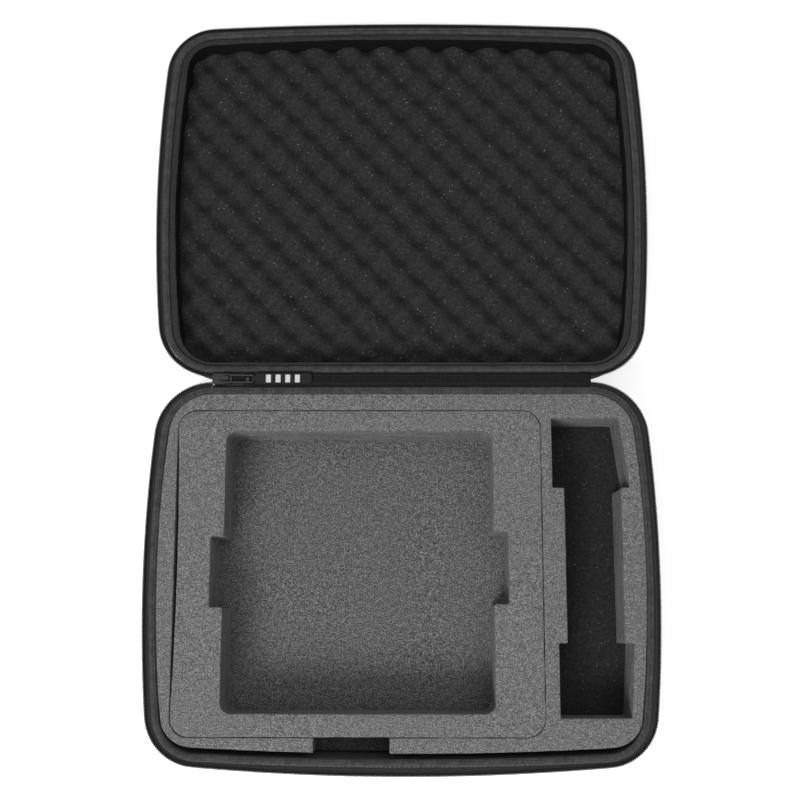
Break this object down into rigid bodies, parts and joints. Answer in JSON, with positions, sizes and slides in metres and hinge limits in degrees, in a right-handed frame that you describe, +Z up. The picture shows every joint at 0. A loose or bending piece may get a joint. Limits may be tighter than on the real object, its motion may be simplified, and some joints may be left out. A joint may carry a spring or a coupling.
{
  "type": "equipment case",
  "caption": "Moulded zip-up case lying open, with a lift-out foam tray, a stepped side slot, egg-crate foam in the lid and a carry handle on the spine.",
  "frame": {"origin": "middle of the base's underside, between its side walls", "axes": "+Z up, +Y from the base's front edge to the hinge and on over the open lid, +X to the right"},
  "size_m": [0.45, 0.684, 0.0723],
  "materials": {
    "shell_fabric": "woven nylon over hard foam, matt",
    "binding_fabric": "folded grosgrain tape",
    "zip_tape_fabric": "woven zip tape",
    "zip_coil": "nylon coil teeth",
    "lining": "brushed polyester lining",
    "grey_foam": "closed-cell foam, cut faces",
    "black_foam": "open-cell foam with pale flecks",
    "handle_rubber": "moulded soft plastic",
    "handle_webbing": "woven webbing",
    "steel": "plated steel",
    "zip_metal": "black-plated cast zinc",
    "pull_rubber": "soft moulded rubber",
    "badge": "pale printed panel left bare"
  },
  "bodies": {
    "base": {"base_shell": "shell_fabric", "base_rim_binding": "binding_fabric", "base_zip_tape": "zip_tape_fabric", "base_zip_teeth": "zip_coil", "base_hinge_flap": "shell_fabric", "foam_underlay": "black_foam", "foam_ring": "grey_foam"},
    "tray": {"tray_foam": "grey_foam", "tray_floor": "grey_foam"},
    "spine": {"spine_fabric": "shell_fabric", "spine_lining": "lining", "handle_washers": "steel", "handle_rivets": "steel", "handle_end_plates": "handle_rubber", "handle_strap": "handle_webbing", "handle_grip": "handle_rubber", "zip_closed_end": "zip_coil", "zip_bottom_stop": "zip_metal", "zip_end_tab": "shell_fabric"},
    "lid": {"lid_shell": "shell_fabric", "lid_rim_binding": "binding_fabric", "lid_zip_tape": "zip_tape_fabric", "lid_zip_teeth": "zip_coil", "lid_hinge_flap": "shell_fabric", "lid_padding": "lining", "lid_backing_foam": "black_foam", "egg_crate_foam": "black_foam"},
    "slider": {"zip_slider": "zip_metal"},
    "bail": {"slider_bail": "zip_metal"},
    "pull": {"zip_pull": "pull_rubber", "pull_badge": "badge"}
  },
  "joints": [
    {"name": "tray_lift", "type": "slide", "parent": "base", "child": "tray", "axis": [0, 0, 1], "range_m": [0, 0.075]},
    {"name": "spine_hinge", "type": "hinge", "parent": "base", "child": "spine", "pos_m": [0, 0.1665, 0.0653], "axis": [-1, 0, 0], "range_deg": [-90, 0]},
    {"name": "lid_hinge", "type": "hinge", "parent": "spine", "child": "lid", "pos_m": [0, 0.1815, 0.0653], "axis": [-1, 0, 0], "range_deg": [-90, 0]},
    {"name": "slider_run", "type": "slide", "parent": "spine", "child": "slider", "axis": [1, 0, 0], "range_m": [0, 0.008]},
    {"name": "bail_hinge", "type": "hinge", "parent": "slider", "child": "bail", "pos_m": [-0.1575, 0.174, 0.0701], "axis": [0, -1, 0], "range_deg": [0, 100]},
    {"name": "pull_hinge", "type": "hinge", "parent": "bail", "child": "pull", "pos_m": [-0.1315, 0.174, 0.0683], "axis": [0, -1, 0], "range_deg": [0, 90]}
  ]
}
